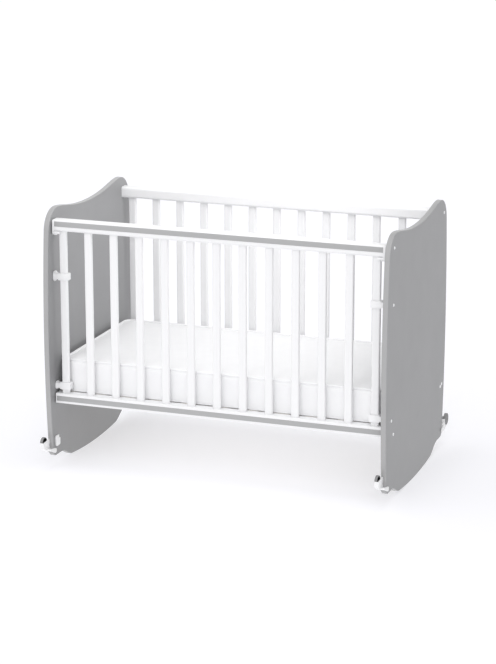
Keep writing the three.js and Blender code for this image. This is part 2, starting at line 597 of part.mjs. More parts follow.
const ENDS = { front: -1, rear: 1 };
for (const [end, outward] of Object.entries(ENDS)) {
  for (const [word, side] of Object.entries(SIDES)) {
    const corner = new THREE.Group();
    corner.position.set(side * BOARD_MID, outward * PIVOT_OUT, PIVOT_HEIGHT);
    corner.rotation.z = outward < 0 ? Math.PI : 0;
    const fold = new THREE.Group();
    fold.rotation.x = outward < 0 ? 0 : -THREE.MathUtils.degToRad(REAR_ARM_DROP);
    corner.add(fold);
    crib.add(corner);
    add(`caster_arm_${end}_${word}`, casterArm(), materials.whitePlastic, fold);
    const turned = add(`caster_wheel_${end}_${word}`, wheel(), materials.wheel, fold);
    turned.position.set(WHEEL.middle, reach.x, reach.y);
  }
}

// Catches on the inner faces of the end boards, each narrower at its top

function catchPlate(side, outward) {
  const { width, height, thick, round, step, stepHeight } = CATCH;
  const bottom = PIVOT_HEIGHT + CATCH.up;
  const out = edgeAt(bottom) - CATCH.in;
  const blank = extrudeX(roundedRect(out - width, bottom, out, bottom + height, round), thick,
    { curveSegments: 3 });
  const notch = box(-thick, thick, out - width - 1, out - width + step, bottom + height - stepHeight,
    bottom + height + 1);
  const rear = cut(blank, [notch]).translate(side * (BOARD_INNER - FIT - thick / 2), 0, 0);
  return outward < 0 ? mirrorY(rear) : rear;
}

for (const [end, outward] of Object.entries(ENDS)) {
  for (const [word, side] of Object.entries(SIDES)) {
    add(`caster_catch_${end}_${word}`, catchPlate(side, outward), materials.whitePlastic);
  }
}

export default crib;
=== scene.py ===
"""Rocking crib: the looks of its boards, bars, rails, fittings, casters and mattress, over its frame."""

import math

import bmesh
import bpy
from bpy.props import FloatProperty, FloatVectorProperty, IntProperty, PointerProperty
from mathutils import Euler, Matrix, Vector
from mathutils.bvhtree import BVHTree


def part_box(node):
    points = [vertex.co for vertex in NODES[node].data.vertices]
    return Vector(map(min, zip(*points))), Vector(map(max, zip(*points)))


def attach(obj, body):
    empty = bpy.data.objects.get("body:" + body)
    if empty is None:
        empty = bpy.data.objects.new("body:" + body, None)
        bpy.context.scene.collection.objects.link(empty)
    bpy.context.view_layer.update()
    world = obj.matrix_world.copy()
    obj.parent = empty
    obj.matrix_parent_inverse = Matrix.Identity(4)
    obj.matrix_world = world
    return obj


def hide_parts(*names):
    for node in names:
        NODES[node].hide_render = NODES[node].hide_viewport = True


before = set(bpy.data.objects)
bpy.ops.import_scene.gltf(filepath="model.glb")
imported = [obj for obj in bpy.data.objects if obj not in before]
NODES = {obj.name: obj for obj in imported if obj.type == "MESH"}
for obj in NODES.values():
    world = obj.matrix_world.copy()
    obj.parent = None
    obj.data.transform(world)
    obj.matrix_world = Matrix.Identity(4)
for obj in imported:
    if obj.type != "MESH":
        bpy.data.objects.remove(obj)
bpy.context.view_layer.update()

bl_info = {
    "name": "Rocking crib",
    "version": (1, 0, 0),
    "blender": (4, 5, 0),
    "location": "3D View > Sidebar > Crib",
    "description": "Makes the finished pieces and materials of a rocking crib",
    "category": "Add Mesh",
}

MM = 0.001
SIDES = ("left", "right")
CORNERS = [(end, side) for end in ("front", "rear") for side in SIDES]

# An edge that turns more than this stays sharp when its piece is shaded smooth
SHARP_EDGE = math.radians(30)

# Radius of the mattress's upright corners
MATTRESS_CORNER = 45 * MM

# Bolt heads on each board: a rail, how far behind its middle line the bolt is, and how high, in mm
BOLTS = (
    ("front_top_rail", 10, 886),
    ("front_top_rail", 11, 692),
    ("front_top_rail", 6, 292.6),
    ("front_top_rail", 32, 238.6),
    ("rear_top_rail", 12, 879.7),
    ("rear_top_rail", 10, 239.9),
    ("rear_top_rail", 28, 245.3),
)


# What a user would change

def size(name, description, value):
    return FloatProperty(name=name, description=description, default=value * MM, unit="LENGTH")


def colour(name, description, value):
    return FloatVectorProperty(name=name, description=description, default=value, subtype="COLOR",
                               size=3, min=0.0, max=1.0)


class CribSizes(bpy.types.PropertyGroup):
    """Sizes of the details, in metres"""
    edge_round: size("Board edge rounding", "Radius on the edges of the end boards", 1.6)
    fitting_round: size("Fitting rounding", "Radius on the edges of the plastic fittings", 0.7)
    bolt_head: size("Bolt head radius", "Radius of the bolt heads in the end boards", 5.5)
    bolt_stand: size("Bolt head height", "How far a bolt head stands out of its board", 2.0)
    piping: size("Piping radius", "Radius of the piping round the mattress", 4.6)
    puff: size("Mattress puff", "How far the mattress cover may swell", 4.0)
    start_inset: size("Mattress start inset", "How much smaller the mattress starts than it ends", 4.0)
    cloth_grid: size("Cloth grid", "Size of the mesh that the mattress cover is simulated on", 9.0)
    stitch: size("Stitch pitch", "Distance from one stitch of the mattress seam to the next", 4.5)
    sim_frames: IntProperty(name="Cloth frames", description="Frames that the mattress cover swells for",
                            default=20, min=1)


class CribColours(bpy.types.PropertyGroup):
    """Colours of the finishes, linear"""
    board: colour("Board", "Lacquer on the faces of the end boards", (0.295, 0.295, 0.301))
    band: colour("Board edge", "Band on the edges of the end boards", (0.400, 0.400, 0.404))
    strip: colour("Strip", "Foil on the strips in the front rails", (0.420, 0.420, 0.424))
    white: colour("White", "Paint on the bars and rails", (0.86, 0.86, 0.87))
    plastic: colour("Plastic", "Moulded fittings", (0.86, 0.86, 0.87))
    tyre: colour("Tyre", "Tread of the caster wheels", (0.24, 0.24, 0.245))
    # The wheel core's near-black is painted shade, standing in for the deep shade in each wheel's hollow
    core: colour("Wheel core", "Hollow core of the caster wheels", (0.025, 0.025, 0.027))
    wood: colour("Bare wood", "Slats under the mattress", (0.82, 0.79, 0.73))
    cloth: colour("Cover", "Cloth of the mattress", (0.885, 0.885, 0.895))
    metal: colour("Bolts", "Bolt heads", (0.82, 0.82, 0.83))


# Materials

class Finish:
    """A material under construction: its nodes, its object coordinates and its shader."""

    def __init__(self, name, roughness, **constants):
        self.material = bpy.data.materials.new(name)
        self.material.use_nodes = True
        self.tree = self.material.node_tree
        self.shader = self.tree.nodes["Principled BSDF"]
        self.shader.inputs["Roughness"].default_value = roughness
        for socket, value in constants.items():
            self.shader.inputs[socket.replace("_", " ")].default_value = value
        self.coords = self.tree.nodes.new("ShaderNodeTexCoord").outputs["Object"]

    def node(self, kind, inputs=None, **settings):
        made = self.tree.nodes.new(kind)
        for key, value in settings.items():
            setattr(made, key, value)
        for key, value in (inputs or {}).items():
            self.feed(made.inputs[key], value)
        return made

    def feed(self, socket, value):
        if isinstance(value, bpy.types.NodeSocket):
            self.tree.links.new(value, socket)
        else:
            socket.default_value = value

    def stretched(self, scale):
        """Object coordinates, multiplied by a scale for each axis, in repeats per metre."""
        return self.node("ShaderNodeMapping", {"Vector": self.coords, "Scale": scale}).outputs["Vector"]

    def noise(self, scale, detail=3.0, distortion=0.0):
        made = self.node("ShaderNodeTexNoise", {
            "Vector": self.stretched(scale), "Scale": 1.0, "Detail": detail, "Roughness": 0.55,
            "Distortion": distortion})
        return made.outputs["Fac"]

    def math(self, operation, a, b=0.0):
        return self.node("ShaderNodeMath", {0: a, 1: b}, operation=operation).outputs[0]

    def span(self, value, low, high, start=0.0, end=1.0):
        """The value, with the range from start to end mapped on to the one from low to high."""
        made = self.node("ShaderNodeMapRange", {
            "Value": value, "From Min": start, "From Max": end, "To Min": low, "To Max": high})
        return made.outputs["Result"]

    def shades(self, factor, *stops):
        """Colours along a factor. Each stop is a place and a colour."""
        ramp = self.node("ShaderNodeValToRGB", {"Fac": factor})
        points = ramp.color_ramp.elements
        while len(points) < len(stops):
            points.new(0.5)
        for point, (place, value) in zip(points, stops):
            point.position = place
            point.color = (*value, 1.0)
        return ramp.outputs["Color"]

    def mottled(self, rgb, scale, amount):
        """A colour that wanders a little to each side of its own value, by a share of it."""
        drift = self.noise(scale, detail=4.0)
        low, high = ([min(1.0, c * (1.0 + sign * amount)) for c in rgb] for sign in (-1, 1))
        return self.shades(drift, (0.25, low), (0.75, high))

    def surface(self, base, height, depth, strength, roughness):
        """Joins the colour, the roughness and a bump, whose height of 0 to 1 spans depth in metres."""
        bump = self.node("ShaderNodeBump", {"Height": height, "Distance": depth, "Strength": strength})
        self.feed(self.shader.inputs["Base Color"], base)
        self.feed(self.shader.inputs["Normal"], bump.outputs["Normal"])
        self.feed(self.shader.inputs["Roughness"], roughness)
        return self.material


def lacquer(name, rgb, roughness=0.42):
    """Sprayed lacquer on board: an even colour, a faint orange peel and a slightly uneven gloss."""
    finish = Finish(name, roughness, Specular_IOR_Level=0.3)
    peel = finish.noise((420, 420, 420), detail=2.0)
    gloss = finish.span(finish.noise((9, 9, 9)), roughness - 0.04, roughness + 0.05)
    tone = finish.mottled(rgb, (14, 14, 14), amount=0.018)
    return finish.surface(tone, peel, depth=0.06 * MM, strength=0.5, roughness=gloss)


def painted_wood(name, rgb, grain_axis):
    """White paint on planed wood: the grain shows through as long faint ridges along one axis."""
    roughness = 0.36
    finish = Finish(name, roughness)
    across, along = 520.0, 7.0
    scale = [along if axis == grain_axis else across for axis in "XYZ"]
    grain = finish.noise(scale, detail=4.0, distortion=0.4)
    peel = finish.noise((700, 700, 700), detail=1.0)
    height = finish.math("ADD", finish.math("MULTIPLY", grain, 0.7), finish.math("MULTIPLY", peel, 0.3))
    gloss = finish.span(grain, roughness - 0.05, roughness + 0.07)
    tone = finish.mottled(rgb, [s / 12 for s in scale], amount=0.012)
    return finish.surface(tone, height, depth=0.08 * MM, strength=0.6, roughness=gloss)


def moulded(name, rgb, roughness=0.33):
    """Injection moulded plastic with a spark-eroded texture."""
    finish = Finish(name, roughness)
    spark = finish.noise((1900, 1900, 1900), detail=2.0)
    gloss = finish.span(spark, roughness - 0.05, roughness + 0.08)
    tone = finish.mottled(rgb, (30, 30, 30), amount=0.012)
    return finish.surface(tone, spark, depth=0.04 * MM, strength=0.5, roughness=gloss)


def tread_rubber(name, rgb):
    """Soft grey tyre: matt, with patches of dust worn into it."""
    finish = Finish(name, 0.62)
    dust = finish.noise((160, 160, 160), detail=5.0)
    clean = [c * 0.9 for c in rgb]
    dusty = [min(1.0, c * 1.12) for c in rgb]
    tone = finish.shades(dust, (0.3, clean), (0.7, dusty))
    fine = finish.noise((2400, 2400, 2400), detail=2.0)
    gloss = finish.span(dust, 0.55, 0.7)
    return finish.surface(tone, fine, depth=0.06 * MM, strength=0.7, roughness=gloss)


def planed_pine(name, rgb):
    """Bare planed softwood, its grain across the crib: pale early wood, darker late wood, small pores."""
    finish = Finish(name, 0.6)
    drift = finish.noise((3.0, 0.6, 3.0), detail=2.0)
    rings = finish.node("ShaderNodeTexWave", {
        "Vector": finish.stretched((1.0, 0.12, 1.0)), "Scale": 34.0, "Distortion": 5.0, "Detail": 2.0,
        "Detail Scale": 1.2, "Phase Offset": finish.math("MULTIPLY", drift, 6.0),
    }, wave_type="BANDS", bands_direction="X", wave_profile="SAW").outputs["Fac"]
    pores = finish.noise((900, 22, 900), detail=3.0)
    late = [c * 0.96 for c in rgb]
    dark = [rgb[0] * 0.86, rgb[1] * 0.76, rgb[2] * 0.66]
    blended = finish.math("ADD", finish.math("MULTIPLY", rings, 0.8), finish.math("MULTIPLY", pores, 0.25))
    tone = finish.shades(blended, (0.15, rgb), (0.72, late), (0.95, dark))
    gloss = finish.span(pores, 0.55, 0.68)
    return finish.surface(tone, pores, depth=0.12 * MM, strength=0.6, roughness=gloss)


def woven_cover(name, rgb):
    """Plain woven cotton: over and under threads on every face, a soft nap and faint creases."""
    thread = 0.9 * MM
    finish = Finish(name, 0.86, Sheen_Weight=0.25, Sheen_Roughness=0.5)
    turns = math.pi / thread
    axes = finish.node("ShaderNodeSeparateXYZ", {"Vector": finish.coords})
    waves = [finish.math("SINE", finish.math("MULTIPLY", axes.outputs[a], turns)) for a in "XYZ"]
    weave = finish.math("MULTIPLY", waves[0], waves[1])
    sides = finish.math("MULTIPLY", finish.math("ADD", waves[0], waves[1]), waves[2])
    cloth = finish.math("ADD", weave, finish.math("MULTIPLY", sides, 0.5))
    nap = finish.noise((1400, 1400, 1400), detail=3.0)
    creases = finish.noise((22, 22, 30), detail=3.0, distortion=0.6)
    threads = finish.span(cloth, 0.0, 0.35, start=-1.5, end=1.5)
    height = finish.math("ADD", threads, finish.math("MULTIPLY", nap, 0.25))
    height = finish.math("ADD", height, finish.math("MULTIPLY", creases, 1.2))
    tone = finish.mottled(rgb, (26, 26, 26), amount=0.012)
    gloss = finish.span(nap, 0.8, 0.92)
    return finish.surface(tone, height, depth=0.2 * MM, strength=0.6, roughness=gloss)


def plated(name, rgb):
    """Zinc plated steel, lightly brushed in use."""
    finish = Finish(name, 0.38, Metallic=0.85)
    scratch = finish.noise((2600, 2600, 300), detail=3.0)
    tone = finish.mottled(rgb, (300, 300, 300), amount=0.04)
    gloss = finish.span(scratch, 0.3, 0.5)
    return finish.surface(tone, scratch, depth=0.02 * MM, strength=0.5, roughness=gloss)


FINISHES = {}


def finish_for(name):
    """Each finish of the crib, made the first time that a piece asks for it."""
    if name not in FINISHES:
        colours = bpy.context.scene.crib_colours
        recipes = {
            "board face": (lacquer, colours.board),
            "board edge": (lacquer, colours.band, 0.36),
            "strip foil": (lacquer, colours.strip, 0.38),
            "paint lengthwise": (painted_wood, colours.white, "X"),
            "paint upright": (painted_wood, colours.white, "Z"),
            "white plastic": (moulded, colours.plastic),
            "tyre": (tread_rubber, colours.tyre),
            # Near-black painted shade for the wheels' hollows
            "wheel core": (moulded, colours.core, 0.5),
            "bare pine": (planed_pine, colours.wood),
            "mattress cover": (woven_cover, colours.cloth),
            "bolt metal": (plated, colours.metal),
        }
        maker, *values = recipes[name]
        FINISHES[name] = maker(name, *values)
    return FINISHES[name]


def paint_node(node, finish):
    slots = NODES[node].data.materials
    slots.clear()
    slots.append(finish_for(finish))


# Meshes

def new_object(name, mesh):
    made = bpy.data.objects.new(name, mesh)
    bpy.context.scene.collection.objects.link(made)
    return made


def object_from(name, bm, finishes):
    mesh = bpy.data.meshes.new(name)
    bm.to_mesh(mesh)
    bm.free()
    for finish in finishes:
        mesh.materials.append(finish_for(finish))
    return new_object(name, mesh)


def baked(piece):
    """The piece with its modifiers turned into plain mesh."""
    graph = bpy.context.evaluated_depsgraph_get()
    mesh = bpy.data.meshes.new_from_object(piece.evaluated_get(graph))
    piece.modifiers.clear()
    piece.data = mesh
    return piece


def place(piece, body, slot, *nodes):
    """Says which body a piece rides on and hides the CAD nodes that it stands for; slot is not used."""
    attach(piece, body)
    if nodes:
        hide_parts(*nodes)


def merged_copy(node):
    """A CAD node's shape as one clean mesh: doubles merged and flat areas made whole."""
    same_place = 0.002 * MM
    flat = math.radians(0.6)
    bm = bmesh.new()
    bm.from_mesh(NODES[node].data)
    bmesh.ops.remove_doubles(bm, verts=bm.verts, dist=same_place)
    bmesh.ops.dissolve_limit(bm, angle_limit=flat, verts=bm.verts, edges=bm.edges)
    return bm


def shade_smooth(mesh):
    """Shades a mesh smooth, except across its sharp edges."""
    for polygon in mesh.polygons:
        polygon.use_smooth = True
    bm = bmesh.new()
    bm.from_mesh(mesh)
    for edge in bm.edges:
        edge.smooth = edge.is_manifold and edge.calc_face_angle(0.0) < SHARP_EDGE
    bm.to_mesh(mesh)
    bm.free()


def soften(node, name, finish, body, slot, width, angle=32):
    """Makes a piece that stands for a CAD node, with the edges that turn more than an angle rounded."""
    piece = object_from(name, merged_copy(node), [finish])
    bevel = piece.modifiers.new("edges", "BEVEL")
    bevel.width = width
    bevel.segments = 2
    bevel.limit_method = "ANGLE"
    bevel.angle_limit = math.radians(angle)
    bevel.use_clamp_overlap = True
    baked(piece)
    shade_smooth(piece.data)
    place(piece, body, slot, node)


def ring_faces(bm, rings):
    """Quads between closed rings of vertices."""
    count = len(rings[0])
    faces = []
    for low, high in zip(rings, rings[1:]):
        for i in range(count):
            j = (i + 1) % count
            faces.append(bm.faces.new((low[i], low[j], high[j], high[i])))
    return faces


def lathe(bm, profile, centre, turns, material):
    """A closed profile of (radius, x) pairs turned about the X axis through a centre."""
    rings = []
    for k in range(turns):
        angle = 2 * math.pi * k / turns
        cos = math.cos(angle)
        sin = math.sin(angle)
        rings.append([bm.verts.new((centre.x + x, centre.y + r * cos, centre.z + r * sin))
                      for r, x in profile])
    rings.append(rings[0])
    for face in ring_faces(bm, rings):
        face.material_index = material
        face.smooth = True


def tube(bm, path, radius, sides):
    """A round tube along a closed path."""
    count = len(path)
    up = Vector((0, 0, 1))
    turns = [2 * math.pi * k / sides for k in range(sides)]
    rings = []
    for i, point in enumerate(path):
        along = (path[(i + 1) % count] - path[i - 1]).normalized()
        out = along.cross(up).normalized()
        rise = out.cross(along)
        rings.append([bm.verts.new(point + out * (radius * math.cos(a)) + rise * (radius * math.sin(a)))
                      for a in turns])
    rings.append(rings[0])
    for face in ring_faces(bm, rings):
        face.smooth = True
    bmesh.ops.recalc_face_normals(bm, faces=bm.faces)


# Geometry node trees

class NodeMaker:
    """A geometry node tree under construction, with named inputs."""

    def __init__(self, name, inputs):
        self.tree = bpy.data.node_groups.new(name, "GeometryNodeTree")
        face = self.tree.interface
        face.new_socket("Geometry", in_out="INPUT", socket_type="NodeSocketGeometry")
        face.new_socket("Geometry", in_out="OUTPUT", socket_type="NodeSocketGeometry")
        self.sockets = {}
        for label, (kind, value) in inputs.items():
            socket = face.new_socket(label, in_out="INPUT", socket_type=kind)
            if value is not None:
                socket.default_value = value
            self.sockets[label] = socket.identifier
        self.given = self.tree.nodes.new("NodeGroupInput").outputs
        self.result = self.tree.nodes.new("NodeGroupOutput").inputs["Geometry"]

    def node(self, kind, inputs=None, **settings):
        made = self.tree.nodes.new(kind)
        for key, value in settings.items():
            setattr(made, key, value)
        for key, value in (inputs or {}).items():
            if isinstance(value, bpy.types.NodeSocket):
                self.tree.links.new(value, made.inputs[key])
            else:
                made.inputs[key].default_value = value
        return made

    def end(self, instances, material):
        real = self.node("GeometryNodeRealizeInstances", {"Geometry": instances})
        painted = self.node("GeometryNodeSetMaterial", {"Geometry": real.outputs[0], "Material": material})
        self.tree.links.new(painted.outputs[0], self.result)


def bolt_tree():
    """A bolt head, chamfered and with a round socket, on every point, turned the way of its facing."""
    maker = NodeMaker("Bolt heads", {
        "Head radius": ("NodeSocketFloat", 0.004),
        "Head height": ("NodeSocketFloat", 0.001),
        "Material": ("NodeSocketMaterial", None),
    })
    given = maker.given
    top_share, socket_share, socket_depth = 0.8, 0.5, 0.8
    narrowed = maker.node("ShaderNodeMath", {0: given["Head radius"], 1: top_share}, operation="MULTIPLY")
    sunk = maker.node("ShaderNodeMath", {0: given["Head height"], 1: -socket_depth}, operation="MULTIPLY")
    head = maker.node("GeometryNodeMeshCone", {
        "Vertices": 20, "Radius Top": narrowed.outputs[0], "Radius Bottom": given["Head radius"],
        "Depth": given["Head height"]})
    rim = maker.node("GeometryNodeExtrudeMesh", {
        "Mesh": head.outputs["Mesh"], "Selection": head.outputs["Top"], "Offset Scale": 0.0}, mode="FACES")
    socket = maker.node("GeometryNodeScaleElements", {
        "Geometry": rim.outputs["Mesh"], "Selection": rim.outputs["Top"],
        "Scale": socket_share}, domain="FACE")
    well = maker.node("GeometryNodeExtrudeMesh", {
        "Mesh": socket.outputs["Geometry"], "Selection": rim.outputs["Top"],
        "Offset Scale": sunk.outputs[0]}, mode="FACES")
    facing = maker.node("GeometryNodeInputNamedAttribute", {"Name": "facing"}, data_type="FLOAT_VECTOR")
    turn = maker.node("FunctionNodeAlignRotationToVector", {"Vector": facing.outputs[0]}, axis="Z")
    placed = maker.node("GeometryNodeInstanceOnPoints", {
        "Points": given["Geometry"], "Instance": well.outputs["Mesh"], "Rotation": turn.outputs[0]})
    maker.end(placed.outputs[0], given["Material"])
    return maker


def stitch_tree():
    """A short stitch at even steps along a line of edges, lying along it."""
    maker = NodeMaker("Stitches", {
        "Pitch": ("NodeSocketFloat", 0.004),
        "Thread": ("NodeSocketFloat", 0.0004),
        "Material": ("NodeSocketMaterial", None),
    })
    given = maker.given
    lengthened = (1, 1, 3.6)
    line = maker.node("GeometryNodeMeshToCurve", {"Mesh": given["Geometry"]})
    even = maker.node("GeometryNodeResampleCurve", {"Curve": line.outputs[0], "Length": given["Pitch"]},
                      mode="LENGTH")
    points = maker.node("GeometryNodeCurveToPoints", {"Curve": even.outputs[0]}, mode="EVALUATED")
    thread = maker.node("GeometryNodeMeshUVSphere", {"Segments": 6, "Rings": 4, "Radius": given["Thread"]})
    stitch = maker.node("GeometryNodeTransform", {"Geometry": thread.outputs["Mesh"], "Scale": lengthened})
    placed = maker.node("GeometryNodeInstanceOnPoints", {
        "Points": points.outputs["Points"], "Instance": stitch.outputs[0],
        "Rotation": points.outputs["Rotation"]})
    maker.end(placed.outputs[0], given["Material"])
    return maker


def grow(piece, maker, values):
    """Turns the piece into what a geometry node tree makes of it, as plain mesh."""
    modifier = piece.modifiers.new(maker.tree.name, "NODES")
    modifier.node_group = maker.tree
    for label, value in values.items():
        modifier[maker.sockets[label]] = value
    baked(piece)


# Shapes that the boards and the mattress follow

def bezier(a, b, c, d, steps):
    """Points along a cubic curve from a to d, without a itself."""
    points = []
    for i in range(1, steps + 1):
        t = i / steps
        s = 1 - t
        points.append(a * s ** 3 + b * (3 * s * s * t) + c * (3 * s * t * t) + d * t ** 3)
    return points


def arc(centre, radius, first, last, steps):
    """Points along an arc from its first angle to its last."""
    return [centre + Vector((math.cos(a), math.sin(a))) * radius
            for a in (first + (last - first) * i / steps for i in range(steps + 1))]


def board_outline():
    """One end board's outline, as distance from the middle and height in metres, round from its foot."""
    rocker, flat, rocker_half = 1835.0, 20.0, 200.0
    toe_end, toe_height, corner_start, corner_height = 292.0, 44.0, 330.0, 70.0
    waist_half, waist_height, side_radius = 374.7, 468.0, 4360.0
    shoulder_height, shoulder_top, shoulder_in, dip_height = 856.0, 932.5, 275.0, 904.0
    rocker_pull, toe_pull = Vector((28, 3.5)), Vector((-40, 0))
    shoulder_pull, top_pull = Vector((-3, 44)), Vector((45, 0))
    dip_pull, middle_pull = Vector((-60, 0)), Vector((150, 0))

    def edge(z):
        return waist_half - side_radius + math.sqrt(side_radius ** 2 - (z - waist_height) ** 2)

    def turn(z):
        return math.asin((z - waist_height) / side_radius)

    middle = Vector((0, math.sqrt(rocker ** 2 - flat ** 2)))
    half = arc(middle, rocker, math.asin(flat / rocker) - math.pi / 2,
               math.asin(rocker_half / rocker) - math.pi / 2, steps=16)
    end = half[-1]
    toe = Vector((toe_end, toe_height))
    half += bezier(end, end + rocker_pull, toe + toe_pull, toe, steps=16)
    start = Vector((corner_start, toe_height))
    pull = Vector((edge(toe_height), toe_height))
    stop = Vector((edge(corner_height), corner_height))
    half.append(start)
    half += bezier(start, start.lerp(pull, 2 / 3), stop.lerp(pull, 2 / 3), stop, steps=12)
    half += arc(Vector((waist_half - side_radius, waist_height)), side_radius, turn(corner_height),
                turn(shoulder_height), steps=28)[1:]
    shoulder = half[-1]
    top = Vector((shoulder_in, shoulder_top))
    dip = Vector((0, dip_height))
    half += bezier(shoulder, shoulder + shoulder_pull, top + top_pull, top, steps=24)
    half += bezier(top, top + dip_pull, dip + middle_pull, dip, steps=24)
    other = [Vector((-p.x, p.y)) for p in reversed(half[:-1])]
    return [p * MM for p in half + other]


def offset(outline, inset):
    """The outline moved inwards, square to itself."""
    count = len(outline)
    moved = []
    for i, point in enumerate(outline):
        along = (outline[(i + 1) % count] - outline[i - 1]).normalized()
        moved.append(point + Vector((-along.y, along.x)) * inset)
    return moved


def rounded_rectangle(half_x, half_y, radius, steps):
    """Points round a rectangle with rounded corners and its middle at 0, counterclockwise from above."""
    points = []
    for corner, (sx, sy) in enumerate(((1, 1), (-1, 1), (-1, -1), (1, -1))):
        for i in range(steps + 1):
            angle = (corner + i / steps) * math.pi / 2
            points.append(Vector((sx * (half_x - radius) + radius * math.cos(angle),
                                  sy * (half_y - radius) + radius * math.sin(angle))))
    return points


# Operators

class CRIB_OT_boards(bpy.types.Operator):
    """Makes the two end boards, with smooth rockers, rounded edges and an edge band"""
    bl_idname = "crib.boards"
    bl_label = "End boards"

    def execute(self, context):
        sizes = context.scene.crib_sizes
        outline = board_outline()
        steps = 4
        for side in SIDES:
            node = f"{side}_end_board"
            low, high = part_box(node)
            bm = bmesh.new()
            rings = []
            for face_x, inward in ((low.x, 1), (high.x, -1)):
                half = []
                for k in range(steps + 1):
                    angle = math.pi / 2 * k / steps
                    inset = sizes.edge_round * (1 - math.sin(angle))
                    x = face_x + inward * sizes.edge_round * (1 - math.cos(angle))
                    half.append([bm.verts.new((x, p.x, p.y)) for p in offset(outline, inset)])
                rings += half if inward > 0 else half[::-1]
            for face in ring_faces(bm, rings):
                face.material_index = 1
                face.smooth = True
            bm.faces.new(rings[0])
            bm.faces.new(rings[-1])
            bmesh.ops.recalc_face_normals(bm, faces=bm.faces)
            piece = object_from(f"end_board_{side}", bm, ["board face", "board edge"])
            place(piece, "base", "board_grey", node)
        return {"FINISHED"}


class CRIB_OT_bars(bpy.types.Operator):
    """Paints the upright bars of both sides"""
    bl_idname = "crib.bars"
    bl_label = "Bars"

    def execute(self, context):
        for node in NODES:
            if "_bar_" in node:
                paint_node(node, "paint upright")
        return {"FINISHED"}


class CRIB_OT_rails(bpy.types.Operator):
    """Finishes the rails of both sides, their grey strips and the rails that carry the base"""
    bl_idname = "crib.rails"
    bl_label = "Rails and strips"

    def execute(self, context):
        for node in ("front_top_rail", "front_bottom_rail", "rear_top_rail", "rear_bottom_rail",
                     "base_front_rail", "base_rear_rail"):
            paint_node(node, "paint lengthwise")
        width = 0.5 * MM
        for level in ("top", "bottom"):
            soften(f"{level}_rail_strip", f"strip_{level}", "strip foil", "front_side", "strip_grey", width)
        return {"FINISHED"}


class CRIB_OT_guides(bpy.types.Operator):
    """Makes the four guides that the end bars slide in, with moulded edges"""
    bl_idname = "crib.guides"
    bl_label = "Guides"

    def execute(self, context):
        width = context.scene.crib_sizes.fitting_round
        for level in ("upper", "lower"):
            for side in SIDES:
                soften(f"{level}_guide_{side}", f"guide_{level}_{side}", "white plastic", "base",
                       "plastic_white", width)
        return {"FINISHED"}


class CRIB_OT_releases(bpy.types.Operator):
    """Makes the release housings, their buttons and the keeper plates"""
    bl_idname = "crib.releases"
    bl_label = "Releases"

    def execute(self, context):
        width = context.scene.crib_sizes.fitting_round
        for side in SIDES:
            for node, body in ((f"release_housing_{side}", "front_side"),
                               (f"release_button_{side}", f"release_{side}"),
                               (f"latch_keeper_{side}", "base")):
                soften(node, f"{node}_moulded", "white plastic", body, "plastic_white", width)
        return {"FINISHED"}


class CRIB_OT_casters(bpy.types.Operator):
    """Makes the folding caster arms, their wheels with hub and tyre, and the catches"""
    bl_idname = "crib.casters"
    bl_label = "Casters"

    def execute(self, context):
        width = context.scene.crib_sizes.fitting_round
        arm_width = width * 0.6
        for end, side in CORNERS:
            name = f"{end}_{side}"
            soften(f"caster_arm_{name}", f"arm_{name}", "white plastic", f"arm_{name}", "plastic_white",
                   arm_width, angle=38)
            soften(f"caster_catch_{name}", f"catch_{name}", "white plastic", f"catch_{name}",
                   "plastic_white", width)
            self.wheel(name, 1 if end == "front" else -1)
        return {"FINISHED"}

    def wheel(self, name, hollow):
        """A tyre, closed on one side and hollow towards the other, +1 or -1 in X, where its core shows. The
        core's near-black colour is painted shade for that hollow.
        """
        node = f"caster_wheel_{name}"
        low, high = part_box(node)
        centre = (low + high) / 2
        half = (high.x - low.x) / 2
        radius = (high.z - low.z) / 2
        hub, rim, bore, edge_round = 6.5 * MM, 18.5 * MM, 3.4 * MM, 1.6 * MM
        lip_depth, lip_width, groove_half, groove_depth = 0.4 * MM, 0.5 * MM, 0.6 * MM, 0.4 * MM
        dish_depth, dish_slope, closed_wall = 0.6 * MM, 1.0 * MM, 1.6 * MM
        gap, core_wall, lining_depth, hub_depth = 0.1 * MM, 0.8 * MM, 0.6 * MM, 0.3 * MM
        shoulder = [(radius - edge_round * (1 - math.sin(a)), half - edge_round * (1 - math.cos(a)))
                    for a in (math.pi / 2 * k / 5 for k in range(6))]
        dish = dish_depth - half
        inside = closed_wall - half
        far_shoulder = [(r, -x) for r, x in reversed(shoulder)]
        tyre = [(rim, half - lip_depth), (rim + lip_width, half), *shoulder, (radius, groove_half),
                (radius - groove_depth, 0.0), (radius, -groove_half), *far_shoulder, (rim, -half),
                (rim - dish_slope, dish), (hub + dish_slope, dish), (hub, -half), (bore, -half),
                (bore, inside), (rim, inside)]
        lining = rim - gap
        back = inside + gap
        web = back + core_wall
        core = [(bore, back), (lining, back), (lining, half - lining_depth),
                (lining - core_wall, half - lining_depth), (lining - core_wall, web), (hub, web),
                (hub, half - hub_depth), (bore, half - hub_depth)]
        bm = bmesh.new()
        lathe(bm, [(r, hollow * x) for r, x in tyre], centre, turns=72, material=0)
        # The core carries the near-black painted shade of the hollow
        lathe(bm, [(r, hollow * x) for r, x in core], centre, turns=48, material=1)
        bmesh.ops.recalc_face_normals(bm, faces=bm.faces)
        piece = object_from(f"wheel_{name}", bm, ["tyre", "wheel core"])
        shade_smooth(piece.data)
        place(piece, f"wheel_{name}", "wheel_grey", node)


class CRIB_OT_base(bpy.types.Operator):
    """Finishes the slatted base in bare wood, with eased edges"""
    bl_idname = "crib.base"
    bl_label = "Slatted base"

    def execute(self, context):
        width = 0.8 * MM
        soften("slatted_base", "slats", "bare pine", "base", "wood_bare", width)
        return {"FINISHED"}


